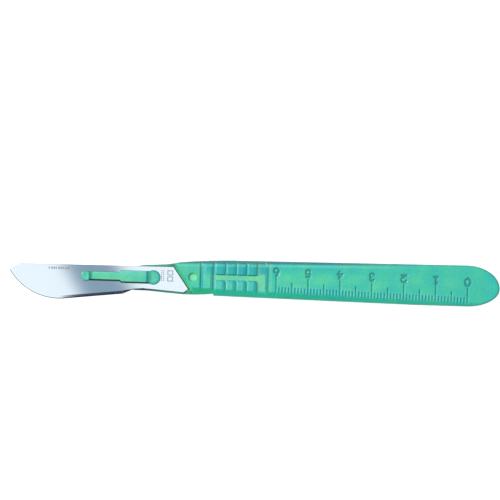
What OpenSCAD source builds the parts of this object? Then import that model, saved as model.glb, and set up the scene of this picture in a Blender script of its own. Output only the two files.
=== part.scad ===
// Disposable scalpel with a large curved blade and a moulded ruler handle.
// It lies on the handle's flat back: +X runs from the blade's point to the butt, +Y towards the
// blade's spine, +Z out of the ruler face, and the origin is under the middle of its box.
// Inside the modules, X is counted from the ruler's zero mark (negative towards the blade) and
// Y from the handle's mid-line. seat() moves each finished piece into the part's own frame.

/* [Overall] */
// Length from the blade's point to the butt
overall_l = 153.9; // [151:0.1:156]
// Distance from the ruler's zero mark to the butt
zero_to_butt = 10.2; // [9.5:0.1:11]

/* [Handle] */
// Thickness between the two flat faces
handle_t = 4.2; // [4:0.1:4.6]
// Height of the upper edge above the mid-line, at the zero mark
top_at_zero = 6.4; // [6.2:0.1:6.8]
// Rise of the upper edge for each millimetre towards the butt
top_slope = 0.009; // [0.008:0.0005:0.011]
// Depth of the lower edge below the mid-line, at the butt
bottom_at_butt = 6.4; // [6.3:0.05:6.5]
// Rise of the lower edge for each millimetre towards the blade
bottom_slope = 0.0162; // [0.015:0.0002:0.017]
// Radius of the upper edge where it falls away to the blade
nose_bend_r = 190; // [170:5:220]
// Depth of the lower edge in front of the grip
nose_bottom = 5.25; // [5.15:0.05:5.3]
// Slope of the long bevels, in degrees
bevel_angle = 38; // [34:1:42]
// Drop of the butt's tip below the mid-line
butt_drop = 0.8; // [0.4:0.1:1]

/* [Grip] */
// Depth of the channels between the raised pads
channel_depth = 0.5; // [0.3:0.05:0.6]
// Width of the narrow grooves between the pads
pad_gap = 0.4; // [0.3:0.05:0.5]
// Height of the lower edge of the upper pads above the mid-line
upper_pad_y = 1.3; // [1.1:0.1:1.5]
// Depth of the upper edge of the lower pads below the mid-line
lower_pad_y = 0.7; // [0.5:0.1:0.9]
// Diameter of the moulded dimple in front of the grip
dimple_d = 2.5; // [2:0.1:2.8]

/* [Ruler] */
// Length of the ruler in millimetres
ruler_l = 60; // [50:10:60]
// Width of an engraved line
line_w = 0.45; // [0.35:0.01:0.5]
// Depth of the engraving
line_depth = 0.3; // [0.2:0.05:0.4]
// Length of a millimetre mark
mm_mark = 1.6; // [1.4:0.1:1.8]
// Length of a half-centimetre mark
half_mark = 3.2; // [3:0.1:3.4]
// Length of a centimetre mark
cm_mark = 4.7; // [4.5:0.1:4.8]
// Height of a numeral
numeral_h = 2.6; // [2.4:0.1:2.7]
// Width of a numeral
numeral_w = 2; // [1.8:0.1:2.1]

/* [Tang] */
// Height of the tang's back above the surface the handle lies on
tang_back = 0.7; // [0.6:0.1:1]
// Height of the seat that the blade lies on
seat_z = 2.2; // [2.1:0.1:2.4]
// Height that the locking bar stands above the blade
bar_proud = 0.45; // [0.3:0.05:0.6]
// Width of the wall's slope behind the blade
wall_w = 1.2; // [1:0.1:1.4]

/* [Blade] */
// Thickness of the steel
blade_t = 0.4; // [0.35:0.01:0.45]
// Radius of the curved cutting edge
belly_r = 18.18; // [18.14:0.02:18.2]
// Slope of the straight cutting edge, in degrees
edge_angle = 6.4; // [6.3:0.02:6.42]
// Width of the ground bevel
grind_w = 0.95; // [0.8:0.05:1.1]
// Thickness left at the cutting edge
edge_t = 0.02; // [0.01:0.01:0.04]
// Height of the spine above the mid-line, at the clipped front
spine_y = 3; // [2.95:0.01:3.05]

/* [Staked heads] */
// Diameter of the front head
front_head_d = 3.3; // [3.2:0.1:3.6]
// Diameter of the rear head
rear_head_d = 4.6; // [4.5:0.1:4.8]
// Height of the heads above the blade
head_h = 0.7; // [0.5:0.05:0.9]

/* [Hidden] */
$fn = 96;

// A cut goes this far past the surface that it opens
over = 1;
// Play between the blade and the pocket's wall behind it
wall_play = 0.15;
// Width of the steeper wall at the blade's clipped rear corner
corner_wall_w = 0.5;

// The upper edge bends down to the nose in front of this station
nose_bend_x = -72;
// The lower edge is level behind this station, and bends over this length to its slope
level_x = -14;
bend_l = 5;
// The lower edge steps outwards here, at the front of the grip
step_x = -79.4;
// Front of the thick part of the handle, along its upper and lower edges
neck_top = [-93.5, 4];
neck_bottom = [-88.6, -nose_bottom];

// Borders of the flat faces, beside the long bevels
flat_low_y0 = -5.27;
flat_low_slope = -0.0255;
flat_high_y0 = 5.95;
flat_high_slope = 0.0185;

// The grip's recess and its pads
recess_x = [-79.5, -63.1];
pad_x0 = -78.8;
pad_pitch = 3.3;
pad_columns = 4;
nose_groove_x = -83.4;
nose_groove_w = 0.8;
nose_groove_depth = 0.35;
dimple_at = [-86.1, 0.2];
dimple_depth = 0.5;

// A groove is cut this far behind its division, so that its shaded wall stands on the division
mark_shift = 0.2;
// Gap between a centimetre mark and its numeral
numeral_gap = 0.35;

// Locking bar: narrow in front and wide behind
bar_front_x = -118;
bar_step_x = -108.6;
bar_rear_x = -100.2;
narrow_y = [-1.4, 1];
wide_y = [-1.9, 1.6];
// The bar and the posts reach this far into the tang
bar_root = 0.3;
// Play between the bar and the slot, above it and below it
slot_play_above = 0.15;
slot_play_below = 0.35;
front_head_at = [-119.4, -0.4];
rear_head_at = [-98.4, -0.3];
front_post_d = 2.1;
rear_post_d = 3.4;
// The rear head is flat towards the bar from here
rear_head_flat_x = -99.7;
head_edge = 0.3;

// Blade outline
point_x = zero_to_butt - overall_l;
point_y = 1;
clip_corner = [point_x + 3.4, spine_y];
belly_c = [point_x + sqrt(belly_r * belly_r - pow(point_y - 10.34, 2)), 10.34];
tangent = belly_c + belly_r * [sin(edge_angle), -cos(edge_angle)];
edge_end_x = -107.8;
// The straight edge lies this far inside the belly's tangent, so that the two cross cleanly
edge_inset = 0.005;
edge_end = [
    edge_end_x,
    tangent[1] + edge_inset + (edge_end_x - tangent[0]) * tan(edge_angle)
];
shank_front = [-104.8, -4.3];
shank_waist = [-101.2, -4];
shank_middle = [-97, -4.12];
rear_low = [-88.7, -4.72];
rear_corner = [-87.3, -3.7];
rear_high = [-92.1, 3.2];
blade_z = seat_z + blade_t / 2;
blade_top = seat_z + blade_t;

// Box of the whole part, which the origin stands under
box_top = top_at_zero;
box_bottom = belly_c[1] - belly_r;
mid_x = zero_to_butt - overall_l / 2;
mid_y = (box_top + box_bottom) / 2;

function top_y(x) =
    top_at_zero + top_slope * x
    - pow(min(x - nose_bend_x, 0), 2) / (2 * nose_bend_r);
function bottom_rise(u) = bottom_slope * u * u / (u + bend_l);
function bottom_y(x) = -bottom_at_butt + bottom_rise(max(level_x - x, 0));
function flat_low(x) = flat_low_y0 + flat_low_slope * x;
function flat_high(x) = flat_high_y0 + flat_high_slope * x;
// The butt is half an ellipse, taller above its tip than below it
function butt_point(a) = [
    zero_to_butt * cos(a),
    -butt_drop + (a > 0 ? top_at_zero + butt_drop : bottom_at_butt - butt_drop) * sin(a)
];

module seat() {
    translate([-mid_x, -mid_y, 0]) children();
}

// Plan of the thick part of the handle
module handle_plan() {
    polygon(concat(
        [neck_bottom, neck_top],
        [for (x = [-91.5 : 3.25 : 0]) [x, top_y(x)]],
        [for (a = [90 : -6 : -90]) butt_point(a)],
        [for (x = [-5 : -12.4 : step_x]) [x, bottom_y(x)]],
        [[step_x, bottom_y(step_x)], [step_x, -4.8], [-82, -5.08], [-85, -nose_bottom]]
    ));
}

// Plan of the tang that the blade lies on
module tang_plan() {
    polygon([
        neck_bottom, [-91, -5.1], [-94, -4.92], [-97, -4.65], [-100, -4.42],
        [-104.4, -4.35], [-107.5, -3], [-119.4, -2.6],
        [-119.4, 1.8], [-107.5, 2.4], [-103.5, 3.1], [-101.5, 3.5], neck_top,
        [-85, 4], [-80, 0], [-84, -4.5]
    ]);
    translate(front_head_at) circle(d = 4.4);
}

// A cut along a line from a to b, whose section is drawn as [distance to the right of the line, z]
module cut_along(a, b, section) {
    reach = 30;
    d = b - a;
    turn = atan2(d[1], d[0]);
    translate([a[0], a[1], 0])
        rotate([0, 0, turn])
            translate([-reach, 0, 0])
                rotate([90, 0, 90])
                    linear_extrude(norm(d) + 2 * reach)
                        polygon([for (p = section) [-p[0], p[1]]]);
}

// Half of the blade's pocket: a seat, a low upright wall and a slope of width w up to the face
module pocket_side(a, b, w) {
    run = w / (handle_t - blade_top);
    cut_along(a, b, [
        [-60, seat_z], [wall_play, seat_z], [wall_play, blade_top],
        [wall_play + w + over * run, handle_t + over], [-60, handle_t + over]
    ]);
}

module blade_pocket() {
    intersection() {
        pocket_side(rear_corner, rear_high, wall_w);
        pocket_side(rear_low, rear_corner, corner_wall_w);
        // The pocket ends just above and below the neck
        translate([-125, -10, 0]) cube([50, 20, 10]);
    }
}

// The back steps up to the tang along the same line as the pocket's wall
module back_relief() {
    run = wall_w / tang_back;
    cut_along(rear_corner, rear_high, [
        [-60, -over], [wall_play + wall_w + over * run, -over],
        [wall_play, tang_back], [-60, tang_back]
    ]);
}

// Planar bevel of one long edge on the front face, through the flat face's border
module long_bevel(y0, slope, side) {
    translate([0, y0, handle_t])
        rotate([0, 0, atan(slope)])
            rotate([-side * bevel_angle, 0, 0])
                translate([-110, side > 0 ? 0 : -20, 0])
                    cube([140, 20, 20]);
}

module both_bevels() {
    long_bevel(flat_high_y0, flat_high_slope, 1);
    long_bevel(flat_low_y0, flat_low_slope, -1);
}

// Channels and grooves of the grip, cut into the front face, with the pads left standing
module grip_cut() {
    top = handle_t + over;
    pad_l = pad_pitch - pad_gap;
    difference() {
        translate([recess_x[0], -4.3, handle_t - channel_depth])
            cube([recess_x[1] - recess_x[0], 9.6, channel_depth + over]);
        for (i = [0 : pad_columns - 1]) {
            translate([pad_x0 + i * pad_pitch, upper_pad_y, 0]) cube([pad_l, 10, top]);
            translate([pad_x0 + i * pad_pitch, -10 - lower_pad_y, 0]) cube([pad_l, 10, top]);
        }
    }
    translate([nose_groove_x - nose_groove_w / 2, -6, handle_t - nose_groove_depth])
        cube([nose_groove_w, 12, nose_groove_depth + over]);
}

// The same features turned over to the back face
module on_back() {
    translate([0, 0, handle_t]) mirror([0, 0, 1]) children();
}

module engraved_bar(a, b) {
    d = b - a;
    translate([a[0], a[1], 0])
        rotate([0, 0, atan2(d[1], d[0])])
            translate([-line_w / 2, -line_w / 2, 0])
                cube([norm(d) + line_w, line_w, line_depth + over]);
}

module engraved_arc(c, r, from, to) {
    translate([c[0], c[1], 0])
        rotate([0, 0, from])
            rotate_extrude(angle = to - from)
                translate([r - line_w / 2, 0]) square([line_w, line_depth + over]);
}

// Numerals 0 to 6, drawn upright from the middle of their foot
module numeral(n) {
    w = numeral_w / 2 - line_w / 2;
    h = numeral_h - line_w;
    r = w;
    if (n == 0) {
        engraved_arc([0, h - r], r, 0, 180);
        engraved_arc([0, r], r, 180, 360);
        engraved_bar([-w, r], [-w, h - r]);
        engraved_bar([w, r], [w, h - r]);
    }
    if (n == 1) {
        engraved_bar([0, 0], [0, h]);
        engraved_bar([-w * 0.6, h * 0.78], [0, h]);
    }
    if (n == 2) {
        engraved_arc([0, h - r], r, -30, 170);
        engraved_bar([-w, 0], [w * 0.87, h - r * 1.5]);
        engraved_bar([-w, 0], [w, 0]);
    }
    if (n == 3) {
        engraved_arc([0, h * 0.76], h * 0.24, -80, 160);
        engraved_arc([0, h * 0.27], h * 0.27, -160, 80);
    }
    if (n == 4) {
        engraved_bar([w * 0.4, 0], [w * 0.4, h]);
        engraved_bar([-w, h * 0.35], [w * 0.4, h]);
        engraved_bar([-w, h * 0.35], [w, h * 0.35]);
    }
    if (n == 5) {
        engraved_bar([-w * 0.7, h], [w * 0.8, h]);
        engraved_bar([-w * 0.7, h * 0.55], [-w * 0.7, h]);
        engraved_arc([0, h * 0.33], h * 0.33, -150, 125);
    }
    if (n == 6) {
        engraved_arc([0, h * 0.33], h * 0.33, 0, 360);
        engraved_arc([h * 0.42, h * 0.5], h * 0.67, 125, 195);
    }
}

// Millimetre scale along the lower border of the flat face, with numerals that read from the butt
module ruler() {
    translate([mark_shift, 0, handle_t - line_depth]) {
        for (i = [0 : ruler_l]) {
            foot = flat_low(-i) - 0.15;
            mark = i % 10 == 0 ? cm_mark : (i % 5 == 0 ? half_mark : mm_mark);
            translate([-i - line_w / 2, foot, 0])
                cube([line_w, mark + 0.15, line_depth + over]);
        }
        for (n = [0 : ruler_l / 10])
            translate([-10 * n, flat_low(-10 * n) + cm_mark + numeral_gap + numeral_h, 0])
                rotate([0, 0, 180])
                    translate([0, line_w / 2, 0]) numeral(n);
    }
}

module handle() {
    color("mediumaquamarine")
        seat() {
            difference() {
                union() {
                    linear_extrude(handle_t) handle_plan();
                    translate([0, 0, tang_back])
                        linear_extrude(seat_z - tang_back) tang_plan();
                }
                blade_pocket();
                back_relief();
                both_bevels();
                on_back() both_bevels();
                grip_cut();
                on_back() grip_cut();
                translate([dimple_at[0], dimple_at[1], handle_t - dimple_depth])
                    cylinder(d = dimple_d, h = dimple_depth + over);
                ruler();
            }
            locking_bar();
        }
}

// Bar and posts that are rooted in the tang and go through the blade's slot
module locking_bar() {
    bar_h = bar_root + blade_t + bar_proud;
    post_h = bar_root + blade_t;
    translate([0, 0, seat_z - bar_root]) {
        translate([bar_front_x, narrow_y[0], 0])
            cube([bar_step_x - bar_front_x + bar_root, narrow_y[1] - narrow_y[0], bar_h]);
        translate([bar_step_x, wide_y[0], 0])
            cube([bar_rear_x - bar_step_x, wide_y[1] - wide_y[0], bar_h]);
        translate([front_head_at[0], front_head_at[1], 0])
            cylinder(d = front_post_d, h = post_h);
        translate([rear_head_at[0], rear_head_at[1], 0])
            cylinder(d = rear_post_d, h = post_h);
    }
}

// Plan of the blade: a true arc in front, then straight edges back to the clipped rear end
module blade_plan() {
    intersection() {
        union() {
            translate(belly_c) circle(r = belly_r);
            translate([tangent[0], -20]) square([60, 40]);
        }
        polygon([
            [point_x, point_y], clip_corner, [tangent[0], spine_y], rear_high, rear_corner,
            rear_low, shank_middle, shank_waist, shank_front, edge_end,
            [point_x, edge_end[1] + (point_x - edge_end_x) * tan(edge_angle)]
        ]);
    }
}

// Slot that the bar and the posts fill, narrow in front and wide behind
module slot_plan() {
    narrow = [narrow_y[0] - slot_play_below, narrow_y[1] + slot_play_above];
    wide = [wide_y[0] - slot_play_below, wide_y[1] + slot_play_above];
    translate([front_head_at[0], narrow[0]])
        square([bar_rear_x - front_head_at[0], narrow[1] - narrow[0]]);
    translate([bar_step_x - slot_play_above, wide[0]])
        square([rear_head_at[0] - bar_step_x, wide[1] - wide[0]]);
    translate([front_head_at[0], (narrow[0] + narrow[1]) / 2])
        circle(d = narrow[1] - narrow[0]);
    translate([rear_head_at[0], (wide[0] + wide[1]) / 2])
        circle(d = wide[1] - wide[0]);
}

// Section of the metal that grinding takes off one face, running past the face and the edge
grind_slope = (blade_t - edge_t) / 2 / grind_w;
function grind_section(r) = [
    [r - grind_w - over, blade_t / 2 + over * grind_slope],
    [r + over, edge_t / 2 - over * grind_slope],
    [r + over, blade_t / 2 + over * grind_slope]
];

module grind_one_face() {
    translate([belly_c[0], belly_c[1], 0])
        rotate([0, 0, 206])
            rotate_extrude(angle = 270 + edge_angle - 206)
                polygon(grind_section(belly_r));
    translate([tangent[0], tangent[1], 0])
        rotate([0, 0, edge_angle])
            rotate([90, 0, 90])
                linear_extrude(norm(edge_end - tangent) + 1.5)
                    polygon([for (p = grind_section(0)) [-p[0], p[1]]]);
}

module blade() {
    color("silver")
        seat()
            translate([0, 0, blade_z])
                difference() {
                    translate([0, 0, -blade_t / 2])
                        linear_extrude(blade_t)
                            difference() {
                                blade_plan();
                                slot_plan();
                            }
                    grind_one_face();
                    mirror([0, 0, 1]) grind_one_face();
                }
}

// Flat-topped dome that a heated tool forms from a post's end
module stake_head(d) {
    rotate_extrude()
        polygon([
            [0, 0], [d / 2, 0], [d / 2, head_h - head_edge],
            [d / 2 - head_edge * 0.3, head_h - head_edge * 0.3],
            [d / 2 - head_edge, head_h], [0, head_h]
        ]);
}

module front_stake_head() {
    color("mediumseagreen")
        seat()
            difference() {
                translate([front_head_at[0], front_head_at[1], blade_top])
                    stake_head(front_head_d);
                translate([bar_front_x - 0.05, -5, 0]) cube([5, 10, 10]);
            }
}

module rear_stake_head() {
    color("mediumseagreen")
        seat()
            difference() {
                translate([rear_head_at[0], rear_head_at[1], blade_top])
                    stake_head(rear_head_d);
                translate([rear_head_flat_x - 5, -5, 0]) cube([5, 10, 10]);
            }
}

handle();
blade();
front_stake_head();
rear_stake_head();
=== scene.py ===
"""Looks of the disposable scalpel: the handle, blade and staked heads as finished meshes.

All shapes are drawn in millimetres on the handle's own axes: x from the ruler's zero mark
(negative towards the blade), y from the handle's mid-line towards the spine, z up from the flat
back. place() turns them into the frame's metres.
"""
import math

import bmesh
import bpy
import numpy as np
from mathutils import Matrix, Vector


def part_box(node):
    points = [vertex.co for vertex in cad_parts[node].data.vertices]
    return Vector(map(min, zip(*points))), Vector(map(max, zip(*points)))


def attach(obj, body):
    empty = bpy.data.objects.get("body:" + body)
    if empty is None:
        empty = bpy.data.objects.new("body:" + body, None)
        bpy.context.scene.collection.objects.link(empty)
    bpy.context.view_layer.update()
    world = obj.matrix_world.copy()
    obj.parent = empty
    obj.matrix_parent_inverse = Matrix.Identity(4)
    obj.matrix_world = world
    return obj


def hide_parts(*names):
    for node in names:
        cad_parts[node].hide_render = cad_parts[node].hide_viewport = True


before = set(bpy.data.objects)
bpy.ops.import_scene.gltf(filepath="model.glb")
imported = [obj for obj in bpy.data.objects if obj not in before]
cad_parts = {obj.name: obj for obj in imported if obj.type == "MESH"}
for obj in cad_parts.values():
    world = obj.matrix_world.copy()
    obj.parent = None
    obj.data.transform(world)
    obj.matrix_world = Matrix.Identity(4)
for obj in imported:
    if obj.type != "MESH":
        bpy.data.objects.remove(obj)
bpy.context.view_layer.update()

MM = 0.001
SAME_POINT = 1e-7

# -------------------- sizes, from the frame's boxes
HANDLE_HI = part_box("handle")[1]
BLADE_LO, BLADE_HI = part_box("blade")
HEAD_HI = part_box("rear_stake_head")[1]

ZERO_TO_BUTT = 10.2
TOP_AT_ZERO = 6.4
ZERO_X = HANDLE_HI[0] / MM - ZERO_TO_BUTT
MID_Y = HANDLE_HI[1] / MM - TOP_AT_ZERO
FACE_Z = HANDLE_HI[2] / MM
SEAT_Z = BLADE_LO[2] / MM
BLADE_TOP = BLADE_HI[2] / MM
HEAD_TOP = HEAD_HI[2] / MM
POINT_X = BLADE_LO[0] / MM - ZERO_X

# Handle outline
TOP_SLOPE = 0.009
NOSE_BEND_X, NOSE_BEND_R = -72.0, 190.0
BOTTOM_DEPTH, BOTTOM_LEVEL_X, BOTTOM_SLOPE, BOTTOM_BEND = 6.4, -14.0, 0.0162, 5.0
BUTT_DROP = 0.8
TANG_TIP = (-119.4, -0.4, 2.2)

# Flat faces and bevels
FLAT_LOW = (-5.27, -0.0255)
FLAT_HIGH = (5.95, 0.0185)
BEVEL_SLOPE = 0.78
RIM_W, RIM_R = 0.55, 0.3

# Grip
RECESS_X = (-79.7, -63.0)
CHANNEL_DEPTH = 0.5
PAD_X0, PAD_PITCH, PAD_L, PAD_COLUMNS = -78.8, 3.3, 2.9, 4
UPPER_PAD_Y, LOWER_PAD_Y, PAD_CORNER_R, PAD_REACH = 1.3, -0.7, 0.3, 20
NOSE_GROOVE_X, NOSE_GROOVE_W, NOSE_GROOVE_DEPTH = -83.4, 0.8, 0.35
DIMPLE_X, DIMPLE_Y, DIMPLE_R, DIMPLE_DEPTH = -86.1, 0.2, 1.25, 0.5

# Ruler
RULER_L = 60
MARK_SHIFT = 0.2
MM_MARK, HALF_MARK, CM_MARK = 1.6, 3.2, 4.7
NUMERAL_GAP, NUMERAL_H, NUMERAL_W, NUMERAL_STROKE = 0.35, 2.6, 2.0, 0.45
LINE_R, NUMERAL_R, LINE_DEPTH, LINE_END = 0.36, 0.54, 0.3, 0.15

# Blade's rear end and the pocket around it
REAR_LOW, REAR_CORNER, REAR_HIGH = (-88.7, -4.72), (-87.3, -3.7), (-92.1, 3.2)
WALL_PLAY, WALL_W, CORNER_WALL_STEEPER, TANG_BACK = 0.15, 1.2, 2.4, 0.7

# Sides: a faint parting line half-way up, as shares of the height and how far each stands out
PARTING_LINE = ((0.3, 0.03), (0.47, 0.035), (0.5, 0.075), (0.53, 0.035), (0.7, 0.03))


def place(points):
    """Millimetres on the handle's axes to metres in the frame."""
    p = np.array(points, float)
    p[:, 0] += ZERO_X
    p[:, 1] += MID_Y
    return p * MM


def smoothstep(a, b, x):
    """0 up to a, 1 from b on, and a smooth rise between them."""
    t = np.clip((np.asarray(x, float) - a) / (b - a), 0, 1)
    return t * t * (3 - 2 * t)


# -------------------- handle outline
def softened(points, x, reach=0.35):
    """A broken line through points with its corners rounded off over the reach."""
    xs, ys = zip(*points)
    return np.mean([np.interp(x + d, xs, ys) for d in np.linspace(-reach, reach, 9)], axis=0)


# the tang, the neck and the nose, from the blade's middle to the grip
UPPER_TANG = [
    (-125, 1.5), (-119.4, 1.8), (-107.5, 2.4), (-103.5, 3.1), (-101.5, 3.5), (-93.7, 4.0),
    (-91.6, 4.42), (-90, 4.74),
]
LOWER_TANG = [
    (-125, -2.4), (-119.4, -2.6), (-107.5, -3.0), (-104.4, -4.35), (-100, -4.42), (-97, -4.65),
    (-94, -4.92), (-91, -5.1), (-88.6, -5.25), (-85, -5.25), (-82, -5.08), (-79.55, -4.8),
    (-79.3, -5.42), (-75, -5.49),
]


def butt_span(x, half):
    """Half width of the butt's ellipse."""
    return half * np.sqrt(np.clip(1 - (np.clip(x, 0, None) / ZERO_TO_BUTT) ** 2, 0, 1))


def tip_span(x):
    """Half width of the tang's round tip."""
    cx, _, r = TANG_TIP
    return np.sqrt(np.clip(r * r - np.clip(cx - x, 0, None) ** 2, 0, None))


def upper_edge(x):
    x = np.asarray(x, float)
    body = TOP_AT_ZERO + TOP_SLOPE * x - np.clip(NOSE_BEND_X - x, 0, None) ** 2 / (2 * NOSE_BEND_R)
    body = np.where(x < -90.5, softened(UPPER_TANG, x), body)
    body = np.where(x > 0, -BUTT_DROP + butt_span(x, TOP_AT_ZERO + BUTT_DROP), body)
    return np.where(x < TANG_TIP[0], TANG_TIP[1] + tip_span(x), body)


def lower_edge(x):
    x = np.asarray(x, float)
    u = np.clip(BOTTOM_LEVEL_X - x, 0, None)
    body = -BOTTOM_DEPTH + BOTTOM_SLOPE * u * u / (u + BOTTOM_BEND)
    body = np.where(x < -78, softened(LOWER_TANG, x, 0.12), body)
    body = np.where(x > 0, -BUTT_DROP - butt_span(x, BOTTOM_DEPTH - BUTT_DROP), body)
    return np.where(x < TANG_TIP[0], TANG_TIP[1] - tip_span(x), body)


def flat_low(x):
    return FLAT_LOW[0] + FLAT_LOW[1] * np.asarray(x, float)


def flat_high(x):
    return FLAT_HIGH[0] + FLAT_HIGH[1] * np.asarray(x, float)


def inside_distance(x, y):
    """Distance from the outline, inwards."""
    step = 0.05
    lo, hi = lower_edge(x), upper_edge(x)
    lo_slope = (lower_edge(x + step) - lower_edge(x - step)) / (2 * step)
    hi_slope = (upper_edge(x + step) - upper_edge(x - step)) / (2 * step)
    side = np.minimum((y - lo) / np.hypot(1, lo_slope), (hi - y) / np.hypot(1, hi_slope))
    # the butt's half ellipses and the tang's round tip
    b = np.where(y > -BUTT_DROP, TOP_AT_ZERO + BUTT_DROP, BOTTOM_DEPTH - BUTT_DROP)
    u, v = x / ZERO_TO_BUTT, (y + BUTT_DROP) / b
    f = np.hypot(u, v)
    grad = np.hypot(u / ZERO_TO_BUTT, v / b) / np.maximum(f, 1e-6)
    butt = (1 - f) / np.maximum(grad, 1e-6)
    tip = TANG_TIP[2] - np.hypot(x - TANG_TIP[0], y - TANG_TIP[1])
    return np.clip(np.where(x > 0, butt, np.where(x < TANG_TIP[0], tip, side)), 0, 20)


# -------------------- handle surface
def behind_line(x, y, a, b):
    """Signed distance to the right of the line from a to b."""
    dx, dy = b[0] - a[0], b[1] - a[1]
    n = math.hypot(dx, dy)
    return ((x - a[0]) * dy - (y - a[1]) * dx) / n


def bevel_drop(x, y, d):
    """How far the long bevels fall below the face."""
    past = np.maximum.reduce([flat_low(x) - y, y - flat_high(x), RIM_W - d])
    soft = 0.12
    return BEVEL_SLOPE * 0.5 * (past + np.sqrt(past ** 2 + soft ** 2))


def rim_drop(d):
    """How far the rounded rim falls away at the outline."""
    e = np.clip(RIM_R - d, 0, RIM_R)
    return RIM_R - np.sqrt(np.clip(RIM_R ** 2 - e ** 2, 0, None))


def soft_min(a, b, r):
    """The smaller of two heights, rounded where they meet."""
    return 0.5 * (a + b - np.sqrt((a - b) ** 2 + r * r))


def box_distance(x, y, x0, x1, y0, y1, r):
    """Signed distance outside a rectangle with rounded corners."""
    qx = np.abs(x - (x0 + x1) / 2) - (x1 - x0) / 2 + r
    qy = np.abs(y - (y0 + y1) / 2) - (y1 - y0) / 2 + r
    return np.hypot(np.clip(qx, 0, None), np.clip(qy, 0, None)) + np.minimum(np.maximum(qx, qy), 0) - r


def pad_distance(x, y):
    """Signed distance outside the nearest grip pad."""
    out = np.full(np.shape(x), 9.0)
    for i in range(PAD_COLUMNS):
        x0 = PAD_X0 + i * PAD_PITCH
        for y0, y1 in ((UPPER_PAD_Y, PAD_REACH), (-PAD_REACH, LOWER_PAD_Y)):
            out = np.minimum(out, box_distance(x, y, x0, x0 + PAD_L, y0, y1, PAD_CORNER_R))
    return out


def recess_share(x):
    """1 along the grip's recess and 0 elsewhere."""
    return smoothstep(RECESS_X[0] - 0.2, RECESS_X[0] + 0.2, x) * (
        1 - smoothstep(RECESS_X[1] - 0.4, RECESS_X[1] + 0.4, x))


def grip_depth(x, y):
    """How far the grip's channels and the nose groove lie below the face."""
    wall = 0.14
    depth = CHANNEL_DEPTH * recess_share(x) * smoothstep(-wall, wall, pad_distance(x, y))
    groove = 1 - smoothstep(0.1, NOSE_GROOVE_W / 2 + 0.12, np.abs(x - NOSE_GROOVE_X))
    return np.maximum(depth, NOSE_GROOVE_DEPTH * groove)


def dimple_depth(x, y):
    r = np.hypot(x - DIMPLE_X, y - DIMPLE_Y)
    return DIMPLE_DEPTH * (1 - smoothstep(DIMPLE_R - 0.3, DIMPLE_R + 0.12, r))


def segment_distance(x, y, a, b):
    dx, dy = b[0] - a[0], b[1] - a[1]
    t = np.clip(((x - a[0]) * dx + (y - a[1]) * dy) / (dx * dx + dy * dy), 0, 1)
    return np.hypot(x - a[0] - t * dx, y - a[1] - t * dy)


def arc_distance(x, y, c, r, start, end):
    """Distance to an arc that runs anticlockwise from start to end, in degrees."""
    mid, half = math.radians((start + end) / 2), math.radians((end - start) / 2)
    u, v = x - c[0], y - c[1]
    off = np.abs(np.angle(np.exp(1j * (np.arctan2(v, u) - mid))))
    ends = [
        np.hypot(u - r * math.cos(math.radians(a)), v - r * math.sin(math.radians(a)))
        for a in (start, end)
    ]
    return np.where(off <= half, np.abs(np.hypot(u, v) - r), np.minimum(*ends))


def numeral_strokes(n):
    """Centre lines of the numerals 0 to 6, drawn upright from the middle of their foot."""
    w, h = (NUMERAL_W - NUMERAL_STROKE) / 2, NUMERAL_H - NUMERAL_STROKE
    return {
        0: [("arc", (0, h - w), w, 0, 180), ("arc", (0, w), w, 180, 360),
            ("line", (-w, w), (-w, h - w)), ("line", (w, w), (w, h - w))],
        1: [("line", (0, 0), (0, h)), ("line", (-0.6 * w, 0.78 * h), (0, h)),
            ("line", (-0.7 * w, 0), (0.7 * w, 0))],
        2: [("arc", (0, h - w), w, -35, 165), ("line", (-w, 0), (0.82 * w, h - 1.57 * w)),
            ("line", (-w, 0), (w, 0))],
        3: [("arc", (0, 0.76 * h), 0.25 * h, -80, 160), ("arc", (0, 0.28 * h), 0.29 * h, -160, 80)],
        4: [("line", (0.35 * w, 0), (0.35 * w, h)), ("line", (-w, 0.35 * h), (0.35 * w, h)),
            ("line", (-w, 0.35 * h), (w, 0.35 * h))],
        5: [("line", (-0.7 * w, h), (0.8 * w, h)), ("line", (-0.7 * w, 0.58 * h), (-0.7 * w, h)),
            ("arc", (0, 0.33 * h), 0.33 * h, -150, 125)],
        6: [("arc", (0, 0.33 * h), 0.33 * h, 0, 360), ("arc", (0.42 * h, 0.5 * h), 0.76 * h, 120, 192)],
    }[n]


def stroke_distance(x, y, stroke):
    measure = segment_distance if stroke[0] == "line" else arc_distance
    return measure(x, y, *stroke[1:])


def ruler_depth(x, y):
    """Depth of the engraved scale and its numerals."""
    depth = np.zeros(np.shape(x))

    def engrave(where, distance, half_width):
        cut = LINE_DEPTH * (0.5 + 0.5 * np.cos(np.pi * np.clip(distance / half_width, 0, 1)))
        depth[where] = np.maximum(depth[where], cut)

    for i in range(RULER_L + 1):
        mx = MARK_SHIFT - i
        foot = float(flat_low(-i))
        mark = CM_MARK if i % 10 == 0 else (HALF_MARK if i % 5 == 0 else MM_MARK)
        near = np.abs(x - mx) < LINE_R
        if near.any():
            d = segment_distance(x[near], y[near], (mx, foot), (mx, foot + mark - LINE_END))
            engrave(near, d, LINE_R)
    for n in range(RULER_L // 10 + 1):
        mx = MARK_SHIFT - 10 * n
        top = float(flat_low(-10 * n)) + CM_MARK + NUMERAL_GAP + NUMERAL_H
        near = (np.abs(x - mx) < NUMERAL_W) & (y > top - NUMERAL_H - 0.5) & (y < top + 0.5)
        if near.any():
            u, v = mx - x[near], top - NUMERAL_STROKE / 2 - y[near]
            d = np.minimum.reduce([stroke_distance(u, v, s) for s in numeral_strokes(n)])
            engrave(near, d, NUMERAL_R)
    return depth


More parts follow.
